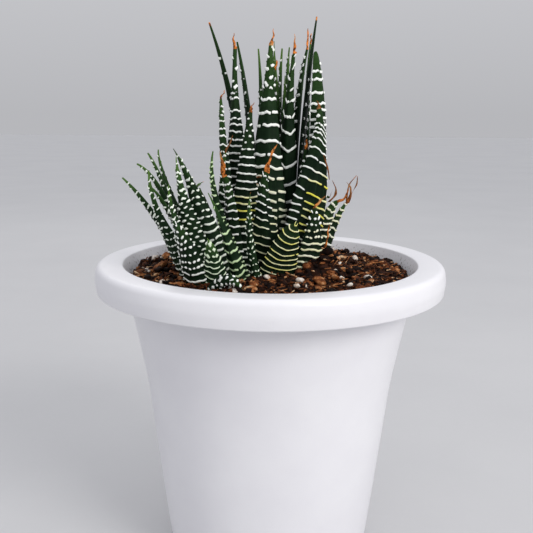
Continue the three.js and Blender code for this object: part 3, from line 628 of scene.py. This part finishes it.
def laid(x, y, lift, turn):
    """The place of a loose bit that lies on the surface, raised by lift and turned."""
    place = Matrix.Translation((x * MM, y * MM, (soil_top(x, y) + lift) * MM))
    return place @ Euler(turn).to_matrix().to_4x4()


def crumb(bm, layer, draw, x, y, size, flat, long, tone, rough, sink, finer=2):
    """One angular crumb: a rough ball pressed flat and drawn long, lying on the surface."""
    turn = (draw.uniform(-0.6, 0.6), draw.uniform(-0.6, 0.6), draw.uniform(0, math.pi))
    place = laid(x, y, size * sink, turn) @ Matrix.Diagonal((long, 1.0, flat, 1.0))
    ball = bmesh.ops.create_icosphere(bm, subdivisions=finer, radius=size * MM / 2, matrix=place)
    for vert in ball["verts"]:
        vert.co += Vector([draw.uniform(-rough, rough) * size * MM for _ in range(3)])
        vert[layer] = tone


def gathered(name, count, lay, look):
    """One piece from count loose bits, laid in lots of a hundred because small lots are quick."""
    whole = bmesh.new()
    for start in range(0, count, 100):
        lot = bmesh.new()
        layer = lot.verts.layers.float.new("tone")
        for i in range(start, min(start + 100, count)):
            lay(lot, layer, i)
        bmesh.ops.recalc_face_normals(lot, faces=lot.faces)
        mesh = bpy.data.meshes.new(name + "_lot")
        lot.to_mesh(mesh)
        lot.free()
        whole.from_mesh(mesh)
        bpy.data.meshes.remove(mesh)
    return piece(name, whole, look)


def make_chips(look):
    draw = random.Random(CHIP_SEED)
    chosen = len(CHOSEN_CHIPS)

    def lay(bm, layer, i):
        if i < chosen:
            x, y, size, tone = CHOSEN_CHIPS[i]
            crumb(bm, layer, draw, x, y, size, flat=0.5, long=1.4, tone=tone, rough=0.05, sink=0.25)
            return
        x, y = scattered(draw)
        if i < chosen + LUMPS:
            size = draw.uniform(1.6, 3.0) + 1.6 * draw.random() ** 4
            tone = draw.random() ** 2.8 * 0.8
            crumb(bm, layer, draw, x, y, size, flat=draw.uniform(0.4, 0.8), long=draw.uniform(1.1, 1.9),
                  tone=tone, rough=0.11, sink=0.05)
        else:
            size = draw.uniform(0.6, 1.6)
            tone = draw.random() ** 1.6 * 0.9
            crumb(bm, layer, draw, x, y, size, flat=draw.uniform(0.4, 0.9), long=draw.uniform(1.1, 2.4),
                  tone=tone, rough=0.16, sink=0.2, finer=1)

    return gathered("bark_chips", chosen + LUMPS + CRUMBS, lay, look)


def make_fibres(look):
    draw = random.Random(FIBRE_SEED)

    def lay(bm, layer, i):
        x, y = scattered(draw)
        length = draw.uniform(2, 6)
        turn = (math.pi / 2 + draw.uniform(-0.35, 0.35), 0, draw.uniform(0, 2 * math.pi))
        stick = bmesh.ops.create_cone(bm, cap_ends=True, segments=5,
                                      radius1=draw.uniform(0.12, 0.35) * MM, radius2=0.1 * MM,
                                      depth=length * MM, matrix=laid(x, y, 0.7, turn))
        tone = draw.uniform(0.2, 0.9)
        for vert in stick["verts"]:
            vert[layer] = tone

    return gathered("bark_fibres", FIBRES, lay, look)


def make_grit(look):
    draw = random.Random(GRIT_SEED)
    chosen = len(CHOSEN_GRIT)

    def lay(bm, layer, i):
        if i < chosen:
            x, y, size = CHOSEN_GRIT[i]
            crumb(bm, layer, draw, x, y, size, flat=0.75, long=1.25, tone=1.0, rough=0.06, sink=0.3)
            return
        x, y = scattered(draw)
        crumb(bm, layer, draw, x, y, draw.uniform(0.6, 1.5), flat=0.7, long=1.2, tone=1.0, rough=0.06,
              sink=0.35)

    return gathered("pale_grit", chosen + LOOSE_GRIT, lay, look)


# Leaves
def eased(low, high, value):
    way = np.clip((value - low) / (high - low), 0, 1)
    return way * way * (3 - 2 * way)


class MiddleLine:
    """The curve that a leaf grows along, measured from its root in millimetres."""

    def __init__(self, one):
        root = np.array([*one["root"], ROOT_HEIGHT], float)
        mid, tip = np.array(one["mid"], float), np.array(one["tip"], float)
        bend = 2 * mid - (root + tip) / 2
        way = np.linspace(0, 1, 401)[:, None]
        self.points = (1 - way) ** 2 * root + 2 * way * (1 - way) * bend + way ** 2 * tip
        slopes = (1 - way) * (bend - root) + way * (tip - bend)
        self.slopes = slopes / np.linalg.norm(slopes, axis=1)[:, None]
        steps = np.linalg.norm(np.diff(self.points, axis=0), axis=1)
        self.run = np.concatenate([[0], np.cumsum(steps)])
        self.length = self.run[-1]
        turn = math.radians(one["face"])
        self.face = np.array([math.cos(turn), math.sin(turn), 0.0])

    def at(self, distance):
        """The point, the outward way and the sideways way at each distance."""
        held = np.clip(distance, 0, self.length)
        point = np.stack([np.interp(held, self.run, self.points[:, i]) for i in range(3)], -1)
        along = np.stack([np.interp(held, self.run, self.slopes[:, i]) for i in range(3)], -1)
        along /= np.linalg.norm(along, axis=-1)[..., None]
        point = point + along * (distance - held)[..., None]
        out = self.face - along * (along @ self.face)[..., None]
        out /= np.linalg.norm(out, axis=-1)[..., None]
        return point, out, np.cross(out, along)

    def distance_at(self, height):
        return float(np.interp(height, self.points[:, 2], self.run))


def half_width(one, s):
    swell = np.sin(math.pi / 2 * np.minimum(1, np.maximum(0, 1 - s) / TAPER_LENGTH))
    end = one.get("end", TIP_WIDTH)
    taper = end + (1 - end) * swell ** one.get("taper", TAPER_POWER)
    root = ROOT_WIDTH + (1 - ROOT_WIDTH) * eased(0, ROOT_LENGTH, s)
    whole_end = one.get("wisp") or one.get("blunt")
    fine_end = 1.0 if whole_end else 1 - 0.8 * eased(0.88, 1.0, s)
    return one["width"] / 2 * taper * root * fine_end


def thickness(one, s):
    swell = np.sin(math.pi / 2 * np.minimum(1, 2 * np.maximum(0, 1 - s)))
    return one["thick"] * (TIP_THICKNESS + (1 - TIP_THICKNESS) * swell)


def columns():
    """How far across each column lies, from -1 to 1, and whether it is on the keeled back."""
    back = np.linspace(1, -1, BACK_COLUMNS + 1)
    face = np.linspace(-1, 1, FACE_COLUMNS + 1)[1:]
    across = np.concatenate([back, face])
    on_back = np.concatenate([np.ones(len(back)), np.zeros(len(face))])
    return 0.6 * across + 0.4 * np.sin(math.pi / 2 * across), on_back


ACROSS, ON_BACK = columns()


def section(half, thick, keel):
    """Across and outward of each column of a ring, for arrays of half widths and thicknesses."""
    crease = (np.sqrt(ACROSS ** 2 + 0.0064) - 0.08) / 0.923
    arch = np.sqrt(np.maximum(0, 1 - ACROSS ** 2))
    back = -0.2 + 0.8 * ((1 - keel) * arch + keel * (1 - crease))
    face = -0.2 - 0.2 * np.maximum(0, 1 - ACROSS ** 2) ** 0.6
    return half * ACROSS, thick * np.where(ON_BACK > 0, back, face)


def band_places(one, line, draw):
    pitch = one.get("pitch", 3.1)
    places = sorted(line.distance_at(height) for height in one.get("rows", []))
    if not places:
        places = [line.length * 0.5]
    while places[0] - pitch > 3:
        places.insert(0, places[0] - pitch * draw.uniform(0.88, 1.12))
    while places[-1] + pitch < line.length * 0.975:
        places.append(places[-1] + pitch * draw.uniform(0.8, 1.05))
    return places


def band_course(one, k, phases, split):
    """How far each column of band k lies above or below the band's middle."""
    a = ACROSS
    slant, step = one.get("slant", 0.0), 0.0
    roll = 0.28 * np.sin(2.3 * a + phases[0] + 0.5 * k) + 0.17 * np.sin(5.6 * a + phases[1] + 1.2 * k)
    roll = roll + 0.09 * np.sin(10.5 * a + phases[2] + 2.3 * k)
    if split:
        parted, _, slant, high = split
        step = high * eased(0.03, -0.03, a - parted)
    return one.get("wavy", 1.0) * roll + step + slant * a + one.get("arch", 0.15) * a ** 2


def band_strength(one, k, phases, split, spots, offset, reach, half):
    """Where band k is whole, and where it is broken into dots, for one of its rows."""
    a = ACROSS
    breaks = np.sin(3.1 * a + phases[3] + 2.4 * k) + 0.6 * np.sin(7.7 * a + phases[4] + 1.1 * k)
    beads = 0.86 + 0.14 * np.sin(15.0 * a + phases[5] + k)
    whole = (0.35 + 0.65 * eased(-1.5, -1.3, breaks)) * beads * RIDGE_PROFILE[abs(offset)]
    if split:
        whole = whole * eased(0.02, 0.09, np.abs(a - split[0]))
    lateral = a * half * 1.12
    dots = np.zeros(len(a))
    shift = one.get("space", DOT_SPACE) * (0.25 if k % 2 == 0 else -0.25)
    for place, size in spots:
        away = np.hypot((lateral - (place + shift)) / one.get("dash", 1.2), offset * reach) / size
        dots = np.maximum(dots, 1 - eased(0.6, 1.1, away))
    return whole, dots


def skin_rows(one, line, places, courses):
    """The rows of a leaf's skin, each with its distance along the leaf, its course, its band or -1, and
    how far up in the band it lies, and the reach of each band."""
    rows, reaches = [(0.0, np.zeros(len(ACROSS)), -1, 0.0)], []
    for k, place in enumerate(places):
        room = min([abs(place - other) for other in places[:k] + places[k + 1:]] + [MOST_ROOM])
        reach = min(one.get("bold", 1.0), room / 1.6, (line.length - place) / 0.8)
        reaches.append(reach)
        last, last_course = rows[-1][:2]
        gap = place + RIDGE_OFFSETS[0] * reach - last
        steps = max(1, round(gap / PLAIN_STEP))
        for i in range(1, steps):
            share = i / steps
            rows.append((last + share * gap, (1 - share) * last_course + share * courses[k], -1, 0.0))
        rows += [(place + offset * reach, courses[k], k, offset) for offset in RIDGE_OFFSETS]
    last, last_course = rows[-1][:2]
    gap = line.length - last
    steps = max(3, round(gap / TIP_STEP))
    for i in range(1, steps + 1):
        share = i / steps
        rows.append((last + share * gap, (1 - share) * last_course, -1, 0.0))
    return rows, reaches


def banding(one, draw, splits, phases, rows, reaches, half, height):
    """How white each place on the skin is, and how far it stands out."""
    dots_from, bare_from = one.get("dots", DOTS_FROM), one.get("bare", 1000)
    space = one.get("space", DOT_SPACE)
    band, lift = np.zeros_like(half), np.zeros_like(half)
    for k, split in enumerate(splits):
        spots = []
        for j in range(-DOTS_ACROSS, DOTS_ACROSS + 1):
            if draw.random() < DOTS_KEPT:
                spots.append((j * space + draw.uniform(-0.3, 0.3),
                              draw.uniform(0.75, 1.15) * DOT_RADIUS * one.get("dot", 1.0)))
        for row, (_, _, owner, offset) in enumerate(rows):
            if owner != k:
                continue
            whole, dots = band_strength(one, k, phases, split, spots, offset, reaches[k], half[row])
            broken = eased(dots_from - 3, dots_from + 3, height[row])
            bare = eased(bare_from - 1, bare_from + 1, height[row])
            on = np.where(ON_BACK > 0, 1.0, 0.9 * eased(0.9, 0.99, np.abs(ACROSS)))
            band[row] = ((1 - broken) * whole + broken * dots) * (1 - bare) * on
            lift[row] = band[row] * (RIDGE_HEIGHT + (DOT_HEIGHT - RIDGE_HEIGHT) * broken)
            lift[row] *= math.sqrt(one.get("bold", 1.0))
    if one.get("withered"):
        return band * 0, lift * 0.3
    return band, lift


def dryness(one, s, half, height, band):
    """Where the skin is withered: at the tip, in its scars or all over."""
    if one.get("withered"):
        return np.ones_like(s)
    dry = eased(0.986, 0.996, s) if one.get("wisp") else one.get("burnt", 0) * eased(0.975, 1.0, s)
    for place, middle, radius in one.get("scars", ()):
        reach = np.hypot((ACROSS - place) * half, height - middle) / radius
        dry = np.maximum(dry, (1 - eased(0.4, 1.1, reach)) * eased(0.3, 0.6, band) * ON_BACK)
    return dry


def yellowing(one, distance, height, phase):
    """How yellow the bands are at each place on the skin."""
    low, high, amount, past = (*one.get("gold", (0, 0.1, 0)), 2.0)[:4]
    turn = 0.75 + 0.25 * np.sin(distance * 1.7 + phase)
    gold = amount * turn * eased(low - 2, low + 2, height) * (1 - eased(high - 3, high + 3, height))
    return gold * (1 - eased(past - 0.05, past + 0.05, ACROSS))


def make_leaf(one, number, look):
    draw = random.Random(LEAF_SEED + number)
    line = MiddleLine(one)
    phases = [draw.uniform(0, 6.28) for _ in range(6)]
    places = band_places(one, line, draw)
    split = one.get("split")
    splits = [split if split and line.at(np.array([place]))[0][0][2] < split[1] else None
              for place in places]
    courses = [band_course(one, k, phases, split) for k, split in enumerate(splits)]
    rows, reaches = skin_rows(one, line, places, courses)

    distance = np.array([row[0] for row in rows])[:, None] + np.array([row[1] for row in rows])
    distance = np.minimum(distance, line.length)
    s = distance / line.length
    ragged = 1 + 0.03 * np.sin(distance * 0.21 + phases[0]) + 0.015 * np.sin(distance * 0.9 + phases[1])
    half = half_width(one, s) * ragged
    keel = 0.22 + 0.35 * eased(0.2, 0.9, s)
    across, outward = section(half, thickness(one, s), keel)
    point, out, side = line.at(distance)
    height = point[..., 2]
    band, lift = banding(one, draw, splits, phases, rows, reaches, half, height)

    lean = np.where(ON_BACK > 0, 1.3, 0.9) * ACROSS
    over = np.where(ON_BACK > 0, np.cos(lean), -np.cos(lean))
    grid = point + side * (across + lift * np.sin(lean))[..., None]
    grid = grid + out * (outward + lift * over)[..., None]
    dry = dryness(one, s, half, height, band)
    gold = yellowing(one, distance, height, phases[2])

    parts = [grid]
    marks = {"band": [band], "dry": [dry], "gold": [gold], "way": [s], "across": [ACROSS + 0 * s]}
    if one.get("wisp"):
        wisp = make_wisp(one, line, draw, half[-1, 0])
        parts.append(wisp)
        for name in marks:
            marks[name].append(np.full(wisp.shape[:2], 1.0 if name in ("dry", "way") else 0.0))
    grid = np.concatenate(parts)
    grid = closed_off(grid, 0.25)
    layers = {}
    for name, pieces in marks.items():
        whole = np.concatenate(pieces)
        layers[name] = np.concatenate([whole[:1], whole, whole[-1:]]).tolist()
    # The weight of the painted shade on the lower part of the leaf: full on tall leaves, less on the
    # short ones
    deep = 1.0 if one["tip"][2] > TALL_LEAF else 0.45
    plain = {"shade": one.get("shade", 0.35), "fresh": one.get("fresh", 0.0),
             "brown": one.get("brown", 0.0), "deep": deep}
    return wrapped("skin_" + one["name"], grid, layers, plain, look)


def make_wisp(one, line, draw, start):
    """The rows of the withered point: a thin twisted strip that shrinks to nothing."""
    point, out, side = line.at(np.array([line.length]))
    point, out, side = point[0], out[0], side[0]
    reach = np.array(one["wisp"], float)
    curl = one.get("curl", draw.uniform(-0.5, 0.5))
    twist = draw.choice([-1, 1]) * draw.uniform(1.0, 2.2) * (0.25 if one.get("broad") else 1.0)
    collar = max(0.85 * start, 0.5)
    strip = one.get("broad", 0.8) / 2
    rows = []
    for i in range(1, WISP_ROWS + 1):
        way = i / WISP_ROWS
        narrow = strip * (1 - way ** 2) ** 0.9 + 0.10
        half = collar + (narrow - collar) * float(eased(0.05, 0.3, way))
        half *= 1 + 0.25 * math.sin(9 * way + twist * 3)
        thick = 0.35 * (1 - way) + 0.12
        bend = math.sin(math.pi * way) * curl + 0.16 * math.sin(11 * way + twist)
        turn = twist * way
        middle = point + reach * way + side * bend + out * (0.12 * math.sin(8 * way))
        wide = side * math.cos(turn) + out * math.sin(turn)
        deep = out * math.cos(turn) - side * math.sin(turn)
        arch = np.sqrt(np.maximum(0, 1 - ACROSS ** 2)) * np.where(ON_BACK > 0, 1.0, -0.6)
        rows.append(middle + wide * (half * ACROSS)[:, None] + deep * (thick * arch)[:, None])
    return np.array(rows)


def make_curl(number, places, width, look):
    """A loose withered strip along the given places, in millimetres."""
    places = np.array(places, float)
    way = np.linspace(0, 1, 13)
    spread = np.linspace(0, 1, len(places))
    path = np.stack([np.interp(way, spread, places[:, i]) for i in range(3)], -1)
    path[1:-1] = (path[:-2] + 2 * path[1:-1] + path[2:]) / 4
    ring = np.linspace(0, 2 * math.pi, 9)
    half = width / 2 * (1 - way ** 2) ** 0.7 * (1 + 0.25 * np.sin(11 * way + number)) + 0.10
    turn = 1.4 * way + number
    wide = np.stack([np.cos(turn), 0.5 * np.sin(turn), 0.3 * np.sin(turn)], -1)
    deep = np.stack([0 * way, np.ones(13), 0 * way], -1)
    grid = path[:, None] + half[:, None, None] * np.cos(ring)[None, :, None] * wide[:, None]
    grid = grid + 0.22 * np.sin(ring)[None, :, None] * deep[:, None]
    plain = {"dry": 1.0, "way": 1.0, "brown": 0.6}
    return wrapped("dry_curl_%d" % number, closed_off(grid, 0.0), {}, plain, look)


def closed_off(grid, past):
    """The grid in metres, closed by a point at either end, the last one past its ring by that share."""
    last = grid[-1].mean(axis=0) + past * (grid[-1] - grid[-2]).mean(axis=0)
    first, last = (np.broadcast_to(pole, grid[0].shape)[None] for pole in (grid[0].mean(axis=0), last))
    return np.concatenate([first, grid, last]) * MM


def wrapped(name, grid, layers, plain, look):
    """A closed skin from a grid of rows and columns whose last column meets the first."""
    rows, cols = grid.shape[:2]
    bm = bmesh.new()
    bmesh.ops.create_grid(bm, x_segments=cols - 1, y_segments=rows - 1, size=1.0)
    keys = {layer: bm.verts.layers.float.new(layer) for layer in list(layers) + list(plain)}
    spots = grid.tolist()
    for vert in bm.verts:
        col = round((vert.co.x + 1) / 2 * (cols - 1))
        row = round((vert.co.y + 1) / 2 * (rows - 1))
        vert.co = spots[row][col]
        for layer, values in layers.items():
            vert[keys[layer]] = values[row][col]
        for layer, value in plain.items():
            vert[keys[layer]] = value
    closed_up(bm)
    return piece(name, bm, look)


# Putting the plant together
plastic = pot_plastic()
skin = leaf_skin()
crumbs = soil_crumb()
bark = bark_chip()
grit = pale_grit()

pot = make_pot(plastic)
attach(pot, "root")
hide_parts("pot")

soil = make_soil(crumbs)
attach(soil, "root")
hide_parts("soil")
for loose in (make_chips(bark), make_fibres(bark), make_grit(grit)):
    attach(loose, "root")

for number, one in enumerate(LEAVES):
    blade = make_leaf(one, number, skin)
    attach(blade, "root")
    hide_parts("leaf_" + one["name"])

for number, (places, width) in enumerate(CURLS):
    curl = make_curl(number, places, width, skin)
    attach(curl, "root")

# Floor, light and camera
floor_mesh = bmesh.new()
bmesh.ops.create_grid(floor_mesh, x_segments=4, y_segments=4, size=6.0)
floor = piece("floor", floor_mesh, pale_floor())


def soft_light(name, place, aim, size, power, colour):
    lamp = bpy.data.lights.new(name, "AREA")
    lamp.shape, lamp.size, lamp.energy, lamp.color = "DISK", size, power, colour
    made = bpy.data.objects.new(name, lamp)
    made.location = place
    made.rotation_euler = (Vector(aim) - Vector(place)).to_track_quat("-Z", "Y").to_euler()
    scene.collection.objects.link(made)


soft_light("key_light", (0.80, -0.85, 0.75), (0, 0, 0.13), 0.6, 9.5, (1.0, 0.98, 0.95))
soft_light("fill_light", (-0.9, -0.6, 0.5), (0, 0, 0.1), 0.8, 0.2, (0.93, 0.94, 1.0))
soft_light("back_light", (-0.3, 0.9, 0.8), (0, 0, 0.15), 0.6, 0.8, (1.0, 0.97, 0.93))

world = bpy.data.worlds.new("studio")
world.use_nodes = True
sky = world.node_tree
sky_place = add(sky, "ShaderNodeTexCoord").outputs["Generated"]
up = add(sky, "ShaderNodeSeparateXYZ", {0: sky_place}).outputs["Z"]
sky.links.new(mixed(sky, ranged(sky, up, 0.0, 1.0), SKY_LOW, SKY_HIGH),
              sky.nodes["Background"].inputs["Color"])
scene.world = world
scene.view_settings.view_transform = "Standard"

camera_data = bpy.data.cameras.new("camera")
camera_data.lens, camera_data.sensor_width = CAMERA_LENS, CAMERA_SENSOR
camera_data.clip_start, camera_data.clip_end = 0.01, 20
camera = bpy.data.objects.new("camera", camera_data)
camera.matrix_world = (Matrix.Translation(Vector(CAMERA_AT) * MM)
                       @ Matrix.Rotation(math.radians(90 - CAMERA_DOWN), 4, "X")
                       @ Matrix.Rotation(math.radians(CAMERA_ROLL), 4, "Z"))
scene.collection.objects.link(camera)
scene.camera = camera
